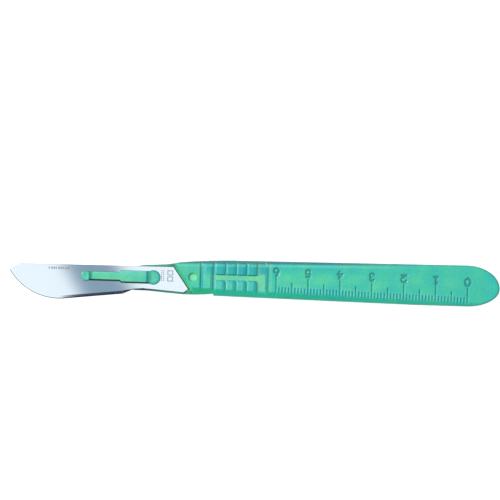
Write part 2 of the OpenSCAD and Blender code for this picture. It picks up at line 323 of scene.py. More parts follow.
def pocket_level(x, y):
    """Height of the blade's seat, of the low wall behind the blade and of the slope above it."""
    back = behind_line(x, y, REAR_CORNER, REAR_HIGH)
    corner = behind_line(x, y, REAR_LOW, REAR_CORNER)
    rise = (FACE_Z - BLADE_TOP) / WALL_W
    foot = 0.06

    def level(d, steep):
        wall = SEAT_Z + (BLADE_TOP - SEAT_Z) * smoothstep(WALL_PLAY - foot, WALL_PLAY + foot, d)
        return wall + np.clip(d - WALL_PLAY, 0, None) * rise * steep

    return np.maximum(level(back, 1.0), level(corner, CORNER_WALL_STEEPER))


GRIP_LIFT, GRIP_SOFT, POCKET_SOFT = 0.03, 0.06, 0.1


def front_height(x, y, d):
    """Height of the ruler face, at distances d from the outline."""
    top = FACE_Z - bevel_drop(x, y, d)
    z = soft_min(top, FACE_Z - grip_depth(x, y) + GRIP_LIFT, GRIP_SOFT)
    z = z - dimple_depth(x, y) - ruler_depth(x, y)
    return soft_min(z, pocket_level(x, y), POCKET_SOFT) - rim_drop(d)


def back_height(x, y, d):
    """Height of the back: the same bevels and grip, and a step up under the tang."""
    low = bevel_drop(x, y, d)
    z = -soft_min(-low, GRIP_LIFT - grip_depth(x, y), GRIP_SOFT)
    back = behind_line(x, y, REAR_CORNER, REAR_HIGH)
    relief = TANG_BACK * (1 - smoothstep(WALL_PLAY - 0.3, WALL_PLAY + WALL_W + 0.3, back))
    return -soft_min(-z, -relief, POCKET_SOFT) + rim_drop(d)


# -------------------- handle mesh
def stations():
    """Places of the mesh's columns along the handle: close together where there is detail."""
    tip = TANG_TIP[0] - TANG_TIP[2] * np.cos(np.radians(np.linspace(3, 90, 12)))
    tang = np.concatenate([np.arange(TANG_TIP[0], -97, 0.8), np.arange(-97, -90.4, 0.4)])
    wall = np.arange(-90.2, -87.8, 0.08)
    nose = np.arange(-87.8, -79.95, 0.15)
    grip = np.arange(-79.95, -61.2, 0.14)
    cell = np.array([-0.5, -0.36, -0.24, -0.12, 0, 0.12, 0.24, 0.36])
    ruler = np.concatenate([MARK_SHIFT - i + cell for i in range(RULER_L + 1, -1, -1)])
    butt = ZERO_TO_BUTT * np.sin(np.radians(np.linspace(4, 88.2, 48)))
    s = np.concatenate([tip, tang, wall, nose, grip, ruler[ruler > -61.15], butt])
    s = np.unique(np.round(s, 4))
    return s[np.concatenate([[True], np.diff(s) > 0.02])]


def shear(s):
    """Sideways lean of the columns, so that they run along the blade's slanted rear end."""
    lean = (REAR_HIGH[0] - REAR_CORNER[0]) / (REAR_HIGH[1] - REAR_CORNER[1])
    return lean * (1 - smoothstep(-88, -80.4, s)) * smoothstep(-103, -93, s)


def spaced(levels, counts, powers):
    """Rows between levels; a power above 1 crowds them to the first, below -1 to the second."""
    rows = [levels[0][None, :]]
    for k, (n, p) in enumerate(zip(counts, powers)):
        t = np.linspace(0, 1, n + 1)[1:]
        t = t ** p if p > 0 else 1 - (1 - t) ** (-p)
        rows.append(levels[k] + t[:, None] * (levels[k + 1] - levels[k]))
    return np.vstack(rows)


def rail_levels(s, lo, hi, ruler_rails, grip_rails, plain):
    """Levels across the handle, blended between its three parts as fractions of its width."""
    sr = np.clip(s, None, 0)
    lo_r, hi_r = lower_edge(sr), upper_edge(sr)
    ruler = np.array([(r(sr) - lo_r) / (hi_r - lo_r) for r in ruler_rails])
    grip = np.array([(r(s) - lo) / (hi - lo) for r in grip_rails])
    on_ruler = smoothstep(-62.8, -61.3, s)
    on_nose = smoothstep(-92, -88.5, s)
    f = ruler * on_ruler + grip * (1 - on_ruler)
    f = f * on_nose + np.array(plain)[:, None] * (1 - on_nose)
    f = np.vstack([np.zeros_like(s), f, np.ones_like(s)])
    return lo + f * (hi - lo)


def fixed(v):
    """A level at one distance from the mid-line."""
    return lambda x: np.full(np.shape(x), float(v))


def above_flat(h):
    """A level at one distance above the ruler's feet."""
    return lambda x: flat_low(x) + h


def handle_points():
    """Closed loops round the handle, one for each station, as an array [station, loop, xyz]."""
    s = stations()
    k = shear(s)
    lo, hi = lower_edge(s), upper_edge(s)
    for _ in range(30):
        lo, hi = lower_edge(s + k * lo), upper_edge(s + k * hi)
    numeral_foot = CM_MARK + NUMERAL_GAP - 0.1
    ruler_rails = [
        flat_low, above_flat(MM_MARK + LINE_END), above_flat(HALF_MARK + LINE_END),
        above_flat(numeral_foot - 0.1), above_flat(numeral_foot + NUMERAL_H + 0.2), flat_high]
    on_pad = LOWER_PAD_Y - 0.35
    grip_rails = [
        flat_low, lambda x: (flat_low(x) + on_pad) / 2, fixed(on_pad), fixed(LOWER_PAD_Y + 0.25),
        fixed(UPPER_PAD_Y + 0.35), flat_high]
    back_rails = [
        flat_low, fixed(LOWER_PAD_Y - 0.3), fixed(LOWER_PAD_Y + 0.3), fixed(UPPER_PAD_Y - 0.3),
        fixed(UPPER_PAD_Y + 0.3), flat_high]
    crowding = [1.7, 1, 1, 1, 1, 1, -1.7]
    front = spaced(
        rail_levels(s, lo, hi, ruler_rails, grip_rails, [0.12, 0.25, 0.35, 0.45, 0.62, 0.88]),
        [8, 8, 8, 8, 22, 6, 8], crowding)
    back = spaced(
        rail_levels(s, lo, hi, back_rails, back_rails, [0.12, 0.3, 0.4, 0.55, 0.65, 0.88]),
        [7, 3, 4, 3, 4, 3, 7], crowding)[::-1]

    def heights(levels, height):
        x, y = (s + k * levels).ravel(), levels.ravel()
        return height(x, y, inside_distance(x, y)).reshape(levels.shape)

    def wall(y, z_from, z_to, side):
        """Low upright side with its parting line."""
        x = s + k * y
        edge = lower_edge if side < 0 else upper_edge
        slope = (edge(x + 0.05) - edge(x - 0.05)) / 0.1
        nx, ny = -side * slope / np.hypot(1, slope), side / np.hypot(1, slope)
        return [(x + nx * push, y + ny * push, z_from + t * (z_to - z_from))
                for t, push in PARTING_LINE]

    zf, zb = heights(front, front_height), heights(back, back_height)
    loop = [(s + k * y, y, z) for y, z in zip(front, zf)]
    loop += wall(front[-1], zf[-1], zb[0], 1)
    loop += [(s + k * y, y, z) for y, z in zip(back, zb)]
    loop += wall(front[0], zb[-1], zf[0], -1)
    return np.array(loop).transpose(2, 0, 1)


def loft(name, rings):
    """A closed mesh through rings of points, with both ends capped."""
    count, ring = rings.shape[:2]
    verts = place(rings.reshape(-1, 3))
    faces = []
    for i in range(count - 1):
        a, b = i * ring, (i + 1) * ring
        faces += [(a + j, a + (j + 1) % ring, b + (j + 1) % ring, b + j) for j in range(ring)]
    faces.append(tuple(range(ring - 1, -1, -1)))
    faces.append(tuple(range((count - 1) * ring, count * ring)))
    return from_faces(name, verts, faces)


def from_faces(name, verts, faces, sharp_deg=None):
    """An object from its corners and the numbers of the corners round each face."""
    bm = bmesh.new()
    corners = [bm.verts.new(v) for v in verts]
    for face in faces:
        bm.faces.new([corners[i] for i in face])
    return mesh_object(name, bm, sharp_deg)


def mesh_object(name, bm, sharp_deg=None):
    """A smooth-shaded object, kept sharp above the angle if one is given."""
    bmesh.ops.remove_doubles(bm, verts=bm.verts, dist=SAME_POINT)
    bmesh.ops.recalc_face_normals(bm, faces=bm.faces)
    mesh = bpy.data.meshes.new(name)
    bm.to_mesh(mesh)
    bm.free()
    mesh.polygons.foreach_set("use_smooth", [True] * len(mesh.polygons))
    if sharp_deg is not None:
        mesh.set_sharp_from_angle(angle=math.radians(sharp_deg))
    return new_object(name, mesh)


def new_object(name, data):
    ob = bpy.data.objects.new(name, data)
    bpy.context.collection.objects.link(ob)
    return ob


# -------------------- blade
BELLY_R, BELLY_CY = 18.18, 10.34
POINT = (POINT_X, 1.0)
CLIP_CORNER = (POINT_X + 3.4, 3.0)
EDGE_DEG, EDGE_END_X = 6.4, -107.8
SHANK_FRONT, SHANK_WAIST, SHANK_MIDDLE = (-104.8, -4.3), (-101.2, -4.0), (-97.0, -4.12)
SHANK_CHAMFER_X = (-106, -105, -101.5, -99.5)
CORNER_RADII = (0.9, 0.9, 0.2, 0.3, 0.2, 0.25)
GRIND_W, EDGE_T, BLADE_T = 0.95, 0.02, BLADE_TOP - SEAT_Z
STEEL_CHAMFER, SHANK_CHAMFER, SLOT_CHAMFER = 0.09, 0.28, 0.03
HONED_W, HONED_HALF = 0.28, 0.12
FACET_DEG = 4

# Locking bar and slot
BAR_FRONT_X, BAR_STEP_X, BAR_REAR_X = -118.7, -108.6, -99.5
NARROW_Y, WIDE_Y = (-1.4, 1.0), (-1.9, 1.6)
SLOT_ABOVE, SLOT_BELOW = 0.05, 0.4
BAR_FOOT, BAR_TOP = SEAT_Z - 0.05, BLADE_TOP + 0.45
BAR_SEAM_X, BAR_REAR_DROP = (-100.6, -100.1), 0.2
FRONT_HEAD, REAR_HEAD = (-119.4, -0.4), (-98.4, -0.3)
FRONT_HEAD_R, REAR_HEAD_R = 1.65, 2.3
FRONT_HEAD_FLAT_X, REAR_HEAD_FLAT_X = -118.12, -99.75


def rounded(points, radii, steps=6):
    """Points of a broken line with each inner corner turned into an arc of the radius given."""
    out = [np.array(points[0], float)]
    for k in range(1, len(points) - 1):
        a, p, b = (np.array(q, float) for q in points[k - 1:k + 2])
        u, v = (a - p) / np.linalg.norm(a - p), (b - p) / np.linalg.norm(b - p)
        half = math.acos(float(np.clip(u @ v, -1, 1))) / 2
        reach = radii[k - 1] / math.tan(half)
        centre = p + (u + v) / np.linalg.norm(u + v) * radii[k - 1] / math.sin(half)
        start, stop = p + u * reach - centre, p + v * reach - centre
        a0 = math.atan2(start[1], start[0])
        turn = (math.atan2(stop[1], stop[0]) - a0 + math.pi) % (2 * math.pi) - math.pi
        for t in np.linspace(0, 1, steps):
            a = a0 + turn * t
            out.append(centre + radii[k - 1] * np.array([math.cos(a), math.sin(a)]))
    out.append(np.array(points[-1], float))
    return np.array(out)


def inward(points, closed=True):
    """Unit normals to the left of a line of points, which is inside on an anticlockwise outline."""
    if closed:
        t = np.roll(points, -1, axis=0) - np.roll(points, 1, axis=0)
    else:
        t = np.gradient(points, axis=0)
    t = t / np.linalg.norm(t, axis=1)[:, None]
    return np.stack([-t[:, 1], t[:, 0]], axis=1)


def share_in_circle(start, stop, centre, r):
    """How far along the line from start to stop the circle is entered."""
    lo, hi = 0.0, 1.0
    for _ in range(40):
        mid = (lo + hi) / 2
        outside = np.linalg.norm(start + mid * (stop - start) - centre) > r
        lo, hi = (mid, hi) if outside else (lo, mid)
    return lo


def bearing(p, centre):
    """Angle of a point as seen from the belly's centre, counted down from zero."""
    angle = math.atan2(*(p - centre)[::-1])
    return angle - 2 * math.pi if angle > 0 else angle


def blade_rims():
    """The blade's outline, the border of its flat face and the rim's half thickness, point by point."""
    centre = np.array([
        POINT_X + math.sqrt(BELLY_R ** 2 - (POINT[1] - BELLY_CY) ** 2), BELLY_CY])
    point, clip = np.array(POINT), np.array(CLIP_CORNER)
    meet = point + share_in_circle(point, clip, centre, BELLY_R - GRIND_W) * (clip - point)
    belly_count, edge_count, ramp_count = 72, 24, 9

    def belly(r, start):
        a = np.linspace(bearing(start, centre), math.radians(EDGE_DEG - 90), belly_count)
        return centre + r * np.stack([np.cos(a), np.sin(a)], axis=1)

    outer, inner = [belly(BELLY_R, point)], [belly(BELLY_R - GRIND_W, meet)]
    half = [np.full(belly_count, EDGE_T / 2)]

    tangent = outer[0][-1]
    along = np.array([math.cos(math.radians(EDGE_DEG)), math.sin(math.radians(EDGE_DEG))])
    edge_end = tangent + along * (EDGE_END_X - tangent[0]) / along[0]
    normal = np.array([-along[1], along[0]])
    t = np.linspace(0, 1, edge_count)[1:, None]
    outer.append(tangent + t * (edge_end - tangent))
    inner.append(outer[-1] + normal * GRIND_W)
    half.append(np.full(len(t), EDGE_T / 2))

    # the grind runs out up the ramp to the shank
    ramp = edge_end + np.linspace(0.08, 0.92, ramp_count)[:, None] * (np.array(SHANK_FRONT) - edge_end)
    share = np.linspace(0, 1, ramp_count)
    flat_rim = BLADE_T / 2 - STEEL_CHAMFER
    run = GRIND_W * (1 - share) + SHANK_CHAMFER * share
    outer.append(ramp)
    inner.append(ramp + inward(ramp, closed=False) * run[:, None])
    half.append(EDGE_T / 2 * (1 - share) + flat_rim * share)

    # the shank, the slanted rear end and the spine, with their corners rounded
    rest = rounded(
        [SHANK_FRONT, SHANK_WAIST, SHANK_MIDDLE, REAR_LOW, REAR_CORNER, REAR_HIGH, CLIP_CORNER,
         tuple(meet)],
        CORNER_RADII)
    x, y = rest.T
    front, full, fading, gone = SHANK_CHAMFER_X
    on_shank = (1 - smoothstep(fading, gone, x)) * smoothstep(front, full, x) * (y < 0)
    bevel = STEEL_CHAMFER + (SHANK_CHAMFER - STEEL_CHAMFER) * on_shank
    outer.append(rest)
    inner.append(rest + inward(rest, closed=False) * bevel[:, None])
    half.append(np.full(len(rest), flat_rim))
    return np.vstack(outer), np.vstack(inner), np.concatenate(half)


def arc_points(c, r, start, end, n):
    """Points of an arc, from start to end in degrees."""
    a = np.radians(np.linspace(start, end, n))
    return [(c[0] + r * math.cos(t), c[1] + r * math.sin(t)) for t in a]


def slot_outline():
    """Clockwise outline of the slot: narrow in front, wide behind, with round ends."""
    n_lo, n_hi = NARROW_Y[0] - SLOT_BELOW, NARROW_Y[1] + SLOT_ABOVE
    w_lo, w_hi = WIDE_Y[0] - SLOT_BELOW, WIDE_Y[1] + SLOT_ABOVE
    front = arc_points((FRONT_HEAD[0], (n_lo + n_hi) / 2), (n_hi - n_lo) / 2, 270, 90, 17)
    rear = arc_points((REAR_HEAD[0], (w_lo + w_hi) / 2), (w_hi - w_lo) / 2, 90, -90, 17)
    x0, x1 = BAR_STEP_X - SLOT_ABOVE - 0.3, BAR_STEP_X - SLOT_ABOVE + 0.3
    return np.array(front + [(x0, n_hi), (x1, w_hi)] + rear + [(x1, w_lo), (x0, n_lo)])


def make_blade():
    """The ground blade: honed edge, grind, flat faces, chamfered shank and the slot."""
    outer, inner, half = blade_rims()
    slot = slot_outline()
    slot_out = slot + inward(slot) * SLOT_CHAMFER
    mid = SEAT_Z + BLADE_T / 2
    top = BLADE_T / 2
    # the honed edge is steeper than the grind above it
    width = np.linalg.norm(inner - outer, axis=1)
    share = np.clip(HONED_W / width, 0, 0.5)
    honed = outer + (inner - outer) * share[:, None]
    ground = smoothstep(EDGE_T / 2, top - STEEL_CHAMFER, half)
    honed_half = HONED_HALF * (1 - ground) + (half + (top - half) * share) * ground

    def ring(xy, z):
        return np.column_stack([xy, np.broadcast_to(z, len(xy))])

    stacks = [
        [ring(inner, mid + top), ring(honed, mid + honed_half), ring(outer, mid + half),
         ring(outer, mid - half), ring(honed, mid - honed_half), ring(inner, mid - top)],
        [ring(slot_out, mid + top), ring(slot, mid + top - SLOT_CHAMFER),
         ring(slot, mid - top + SLOT_CHAMFER), ring(slot_out, mid - top)],
    ]
    bm = bmesh.new()
    rims = {0: [], -1: []}
    for stack in stacks:
        rows = [[bm.verts.new(v) for v in place(r)] for r in stack]
        n = len(rows[0])
        for a, b in zip(rows[:-1], rows[1:]):
            for j in range(n):
                bm.faces.new((a[j], a[(j + 1) % n], b[(j + 1) % n], b[j]))
        for end in rims:
            rims[end] += [bm.edges.get((rows[end][j], rows[end][(j + 1) % n])) for j in range(n)]
    for edges in rims.values():
        bmesh.ops.triangle_fill(bm, use_beauty=True, use_dissolve=False, edges=edges)
    return mesh_object("blade_ground", bm, FACET_DEG)


# -------------------- bar, heads and marks
def make_bar():
    """The bar in the slot: narrow in front, wide behind, with its upper edges rounded off."""
    edge_r, step = 0.28, 0.35
    near_end = edge_r * (1 - np.cos(np.radians(np.linspace(0, 90, 7))))
    x = np.concatenate([
        BAR_FRONT_X + near_end, np.arange(BAR_FRONT_X + 0.6, BAR_REAR_X - 1.5, 0.3),
        np.arange(BAR_REAR_X - 1.5, BAR_REAR_X - 0.35, 0.1), BAR_REAR_X - near_end[::-1]])
    wide = smoothstep(BAR_STEP_X - step, BAR_STEP_X + step, x)
    lo = NARROW_Y[0] + (WIDE_Y[0] - NARROW_Y[0]) * wide
    hi = NARROW_Y[1] + (WIDE_Y[1] - NARROW_Y[1]) * wide
    half = (hi - lo) / 2
    end = np.minimum(x - BAR_FRONT_X, BAR_REAR_X - x)
    foot = np.full(len(x), BAR_FOOT)
    top = BAR_TOP - BAR_REAR_DROP * smoothstep(*BAR_SEAM_X, x)

    def top_row(side, step_in):
        inset = half if step_in >= 1 else np.minimum(step_in, half)
        from_edge = np.hypot(np.clip(edge_r - inset, 0, None), np.clip(edge_r - end, 0, None))
        drop = edge_r - np.sqrt(np.clip(edge_r ** 2 - from_edge ** 2, 0, None))
        return x, lo + inset if side < 0 else hi - inset, top - drop

    across = np.concatenate([near_end, np.linspace(near_end[-1], 1, 8)[1:]])
    loop = [(x, lo, foot)]
    loop += [top_row(-1, step_in) for step_in in across]
    loop += [top_row(1, step_in) for step_in in across[-2::-1]]
    loop.append((x, hi, foot))
    return loft("locking_bar", np.array(loop).transpose(2, 0, 1))


def make_head(name, centre, radius, flat_x):
    """A staked head: a low dome with a rolled rim and a shallow hollow where the tool pressed it."""
    turns, rings, sharpness, far = 72, 18, 6, 99
    foot_h, foot_play, roll, hollow_h, hollow_rim = 0.12, 0.02, 0.34, 0.1, (0.3, 0.62)
    innermost, crowding = 0.97, 1.5
    angles = np.linspace(0, 2 * math.pi, turns, endpoint=False)
    reach = flat_x - centre[0]
    cosine = np.cos(angles) * (1 if reach > 0 else -1)
    limit = np.where(cosine > 0.05, abs(reach) / np.maximum(cosine, 0.05), far)
    span = -np.log(np.exp(-sharpness * limit) + np.exp(-sharpness * radius)) / sharpness
    rise = HEAD_TOP - BLADE_TOP
    rows = [(1 - foot_play / span, np.zeros(turns)), (1, np.full(turns, foot_h))]
    for t in np.linspace(0, 1, rings)[1:]:
        inset = innermost * t ** crowding
        e = np.clip(1 - inset * span / roll, 0, 1)
        dome = foot_h + (rise - foot_h) * np.sqrt(1 - e * e)
        hollow = hollow_h * (1 - smoothstep(*hollow_rim, 1 - inset))
        rows.append((1 - inset, dome - hollow))
    x, y = span * np.cos(angles), span * np.sin(angles)
    return loft(name, np.array([
        np.column_stack([centre[0] + share * x, centre[1] + share * y, BLADE_TOP + h])
        for share, h in rows]))


# Etched marks: a row of short bars, two columns of them and two boxes
WORD_X, WORD_PITCH, WORD_Y = -131.2, 0.74, (1.45, 2.15)
COLUMNS_X, COLUMN_W, COLUMN_Y, DASH_PITCH, DASH_H = (-95.9, -95.25), 0.25, -1.3, 0.6, 0.42
BOX_X, BOX_FEET, BOX_H, BOX_LINE = (-94.0, -92.2), (-1.4, 0.5), 1.56, 0.26
MARK_SUNK, MARK_PROUD = 0.004, 0.006


def make_marks():
    """Plain etched bars and boxes, standing for the marks that such a blade carries."""
    boxes = []
    for i in range(9):
        x = WORD_X + WORD_PITCH * i
        boxes.append((x, x + (0.5 if i % 3 else 0.3), *WORD_Y))
    for i in range(6):
        y = COLUMN_Y + DASH_PITCH * i
        boxes += [(x, x + COLUMN_W, y, y + DASH_H) for x in COLUMNS_X]
    x0, x1 = BOX_X
    for y0 in BOX_FEET:
        y1 = y0 + BOX_H
        boxes += [(x0, x1, y0, y0 + BOX_LINE), (x0, x1, y1 - BOX_LINE, y1)]
        boxes += [(x, x + BOX_LINE, y0 + BOX_LINE, y1 - BOX_LINE) for x in (x0, x1 - BOX_LINE)]
    verts, faces = [], []
    for x0, x1, y0, y1 in boxes:
        b = len(verts)
        for z in (BLADE_TOP - MARK_SUNK, BLADE_TOP + MARK_PROUD):
            verts += [(x0, y0, z), (x1, y0, z), (x1, y1, z), (x0, y1, z)]
        faces += [(b + 3, b + 2, b + 1, b), (b + 4, b + 5, b + 6, b + 7)]
        faces += [(b + j, b + (j + 1) % 4, b + 4 + (j + 1) % 4, b + 4 + j) for j in range(4)]
    return from_faces("blade_marks", place(verts), faces, sharp_deg=30)


# -------------------- nodes
def wire(tree, node, inputs):
    """Sets each input to its value, or wires it if the value is another node's output."""
    for key, value in inputs.items():
        if isinstance(value, bpy.types.NodeSocket):
            tree.links.new(value, node.inputs[key])
        else:
            node.inputs[key].default_value = value
    return node


def new_node(tree, kind, inputs=None):
    return wire(tree, tree.nodes.new("ShaderNode" + kind), inputs or {})


def new_material(name):
    mat = bpy.data.materials.new(name)
    mat.use_nodes = True
    return mat, mat.node_tree, mat.node_tree.nodes["Principled BSDF"]


def mapped(tree, source, start, stop, low, high):
    """A number that runs from low to high while the source runs from start to stop."""
    return new_node(tree, "MapRange", {
        "Value": source, "From Min": start, "From Max": stop, "To Min": low, "To Max": high})


# -------------------- stage
CAMERA = (-68.35, 9.21, 1000)
SENSOR_MM, VIEW_WIDTH, ROLL_DEG = 36, 156.5, 1.73

# The floor and the key light, in metres and watts
FLOOR_SIDE, KEY_SIDE, KEY_WATTS, KEY_PLACE = 4, 0.3, 9, (-0.7, 0.3, 0.5)


def make_camera():
    """Straight above, rolled so that the scalpel leans as it lies: its butt a little lower."""
    cam = bpy.data.cameras.new("camera")
    cam.sensor_width = SENSOR_MM
    cam.lens = SENSOR_MM * (CAMERA[2] - FACE_Z) / VIEW_WIDTH
    cam.clip_start = 0.01
    cam.clip_end = 20
    ob = new_object("camera", cam)
    ob.location = place([CAMERA])[0]
    ob.rotation_euler = (0, 0, math.radians(ROLL_DEG))
    bpy.context.scene.camera = ob


def make_floor():
    """A white light table: it glows a little, so nothing casts a heavy shadow on it."""
    bpy.ops.mesh.primitive_plane_add(size=FLOOR_SIDE)
    floor = bpy.context.active_object
    floor.name = "floor"
    mat, tree, shader = new_material("floor_white")
    wire(tree, shader, {
        "Base Color": (0.8, 0.8, 0.8, 1), "Roughness": 0.8,
        "Emission Color": (1, 1, 1, 1), "Emission Strength": 0.6})
    floor.data.materials.append(mat)


def make_light():
    """A white dome, brightest overhead, and a soft key from the blade's end."""
    world = bpy.data.worlds.new("studio")
    bpy.context.scene.world = world
    world.use_nodes = True
    tree = world.node_tree
    coord = new_node(tree, "TexCoord")
    split = new_node(tree, "SeparateXYZ", {"Vector": coord.outputs["Generated"]})
    dome = mapped(tree, split.outputs["Z"], 0.3, 0.95, 0.3, 1.12)
    dome.interpolation_type = "SMOOTHSTEP"
    wire(tree, tree.nodes["Background"], {
        "Color": (1, 1, 1, 1), "Strength": dome.outputs["Result"]})
    key = bpy.data.lights.new("key", "AREA")
    key.shape = "RECTANGLE"
    key.size = key.size_y = KEY_SIDE
    key.energy = KEY_WATTS
    ob = new_object("key", key)
    ob.location = KEY_PLACE
    ob.rotation_euler = (-ob.location).to_track_quat("-Z", "Y").to_euler()


def make_flag(name, centre, size, turn, colour, feather):
    """A dark card that only reflections see, fading out over the feather at each end of its width."""
    bpy.ops.mesh.primitive_plane_add(size=1)
    card = bpy.context.active_object
    card.name = name
    card.location = place([centre])[0]
    card.scale = (size[0] * MM, size[1] * MM, 1)
    card.rotation_euler = (0, 0, math.radians(turn))
    mat, tree, shader = new_material(name)
    tree.nodes.remove(shader)
    coord = new_node(tree, "TexCoord")
    split = new_node(tree, "SeparateXYZ", {"Vector": coord.outputs["Generated"]})
    fade = new_node(tree, "ValToRGB", {"Fac": split.outputs["X"]})
    fade.color_ramp.interpolation = "EASE"
    stops = fade.color_ramp.elements
    for stop in stops:
        stop.color = (0, 0, 0, 1)
    for along in (feather[0] / size[0], 1 - feather[1] / size[0]):
        stops.new(along).color = (1, 1, 1, 1)
    clear = new_node(tree, "BsdfTransparent")
    glow = new_node(tree, "Emission", {"Color": (*colour, 1)})
    mix = new_node(tree, "MixShader", {
        "Fac": fade.outputs["Color"], 1: clear.outputs["BSDF"], 2: glow.outputs["Emission"]})
    wire(tree, tree.nodes["Material Output"], {"Surface": mix.outputs["Shader"]})
    card.data.materials.append(mat)
    card.visible_camera = card.visible_diffuse = False
    card.visible_shadow = card.visible_transmission = False


def make_flags():
    """One card greys the middle of the blade and the other darkens its ground edge."""
    make_flag("flag_over_blade", (-119, -2, 80), (23, 32), 31, (0.3, 0.39, 0.47), (6.5, 7))
    make_flag("flag_at_edge", (-112, -74, 100), (39, 110), 0, (0.045, 0.05, 0.085), (5, 6))


# -------------------- materials
def noise(tree, scale, detail, stretch=(1, 1, 1)):
    """Noise on the object's own coordinates, in waves for each millimetre."""
    coord = new_node(tree, "TexCoord")
    waves = new_node(tree, "Mapping", {
        "Vector": coord.outputs["Object"], "Scale": [s / MM for s in stretch]})
    return new_node(tree, "TexNoise", {
        "Vector": waves.outputs["Vector"], "Scale": scale, "Detail": detail}).outputs["Fac"]


def ranged(tree, source, low, high):
    """The noise's usual span, stretched from low to high."""
    return mapped(tree, source, 0.25, 0.75, low, high).outputs["Result"]


def relief(tree, height, strength, distance):
    """A normal bumped by the height, its distance in millimetres."""
    return new_node(tree, "Bump", {
        "Height": height, "Strength": strength, "Distance": distance * MM}).outputs["Normal"]


def ramped(tree, source, low_at, low, high_at, high):
    """A colour that runs from low to high with the source."""
    ramp = new_node(tree, "ValToRGB", {"Fac": source})
    for stop, at, colour in zip(ramp.color_ramp.elements, (low_at, high_at), (low, high)):
        stop.position = at
        stop.color = (*colour, 1)
    return ramp.outputs["Color"]


def multiplied(tree, first, second):
    """The product of two colours."""
    mix = new_node(tree, "Mix")
    mix.data_type = "RGBA"
    mix.blend_type = "MULTIPLY"
    wire(tree, mix, {"Factor": 1.0, 6: first, 7: second})
    return mix.outputs[2]


def colour_with_painted_light(tree):
    """The colour that each piece carries on its own mesh, with painted light and painted shade in it.
    """
    layer = new_node(tree, "VertexColor")
    layer.layer_name = "colour_with_painted_light"
    return layer.outputs["Color"]


def moulded_plastic():
    """Cloudy moulded plastic: the piece's painted colour, light and shade, with soft mottling and a
    fine speckle.
    """
    mat, tree, shader = new_material("moulded_plastic")
    tint = ramped(tree, noise(tree, 0.22, 4.0), 0.33, (0.72, 0.94, 1.05), 0.67, (1.3, 1.05, 0.95))
    grain = multiplied(tree, tint, ranged(tree, noise(tree, 1.7, 2.0), 0.93, 1.07))
    wire(tree, shader, {
        "Base Color": multiplied(tree, colour_with_painted_light(tree), grain),
        "Roughness": ranged(tree, noise(tree, 1.3, 3.0), 0.24, 0.36),
        "Normal": relief(tree, noise(tree, 2.2, 2.0), 0.25, 0.01),
        "Subsurface Weight": 0.25,
        "Subsurface Radius": (0.3, 1.0, 0.8),
        "Subsurface Scale": 0.6 * MM,
        "IOR": 1.49,
        "Specular IOR Level": 0.35})
    return mat


def ground_steel():
    """Steel with fine grinding lines along the blade, darkened by the painted shade on its facets."""
    mat, tree, shader = new_material("ground_steel")
    grain = noise(tree, 1.0, 4.0, stretch=(0.25, 22, 1))
    tone = ramped(tree, grain, 0.3, (0.69, 0.79, 0.87), 0.7, (0.755, 0.855, 0.93))
    wire(tree, shader, {
        "Metallic": 1.0,
        "Base Color": multiplied(tree, tone, colour_with_painted_light(tree)),
        "Roughness": ranged(tree, grain, 0.08, 0.13),
        "Normal": relief(tree, grain, 0.12, 0.002)})
    return mat


def etched_steel():
    """The dull grey of etched marks."""
    mat, tree, shader = new_material("etched_steel")
    tone = ramped(tree, noise(tree, 3.0, 3.0), 0, (0.16, 0.18, 0.22), 1, (0.32, 0.35, 0.4))
    wire(tree, shader, {"Metallic": 0.6, "Roughness": 0.6, "Base Color": tone})
    return mat


# -------------------- pigment, with painted light and painted shade
# Shades of the plastic: it is yellower where it is thin and bluer where it is thick; many shades below
# are painted light and painted shade
FACE = (0.031, 0.437, 0.317)
NOSE_FACE = (0.048, 0.42, 0.29)
BLUE_FACE = (0.012, 0.345, 0.34)
UPPER_PAD = (0.012, 0.335, 0.33)
LOWER_PAD = (0.055, 0.43, 0.35)
THIN = (0.11, 0.5, 0.29)
THINNEST = (0.15, 0.55, 0.3)
# Painted shade on the lower bevel
LOW_BEVEL_PAINTED_SHADE = (0.012, 0.42, 0.275)
# Painted dark reflection on the upper bevel, and painted shade round the outline
HIGH_BEVEL_PAINTED_SHADE = (0.042, 0.178, 0.175)
# Painted highlight on the lit walls and lips of the relief, below the upper bevel and on the bar's
# upper side
PAINTED_HIGHLIGHT = (0.09, 0.48, 0.42)
# Painted glint along the pads' edges, along the ruler's feet and near the bar's rear end
PAINTED_EDGE_GLINT = (0.03, 0.4, 0.44)
# Painted shade in bands across the handle at the grooves
PAINTED_BAND_SHADE = (0.004, 0.28, 0.25)
# Painted shade at the seams where the bar meets the heads
PAINTED_SEAM_SHADE = (0.01, 0.25, 0.2)
# Painted shade in the deep band at the end of the grip's recess
PAINTED_DEEP_SHADE = (0.008, 0.23, 0.21)
# Painted highlight on the lip beside it
PAINTED_LIP_HIGHLIGHT = (0.09, 0.49, 0.33)
# Painted shade along the feet of the upper pads
PAINTED_PAD_FOOT_SHADE = (0.008, 0.27, 0.17)
# Painted shade along the lower pads' feet, round the heads' rims and on the bar's upper flank
PAINTED_GROOVE_SHADE = (0.016, 0.27, 0.27)
# Painted shadow in the line behind the blade and round the heads' outer edges
PAINTED_LINE_SHADOW = (0.008, 0.17, 0.14)
# Painted shadow in the slot's gap under the bar and in the pocket's lower corner
PAINTED_GAP_SHADOW = (0.002, 0.035, 0.03)
# Painted shade on the slope behind the blade and on the dimple's rim; along the tang's lower border it
# lightens the painted shadow under the blade
PAINTED_SLOPE_SHADE = (0.045, 0.38, 0.18)
# Painted shade in the ruler's engraved lines and numerals
PAINTED_ENGRAVING_SHADE = (0.02, 0.25, 0.2)
# Painted shadow on the tang under the blade
PAINTED_SHADOW_UNDER_BLADE = (0.012, 0.07, 0.055)
# Lighter painted shade on the tang's ledge along the spine
PAINTED_LEDGE_SHADE = (0.07, 0.25, 0.16)
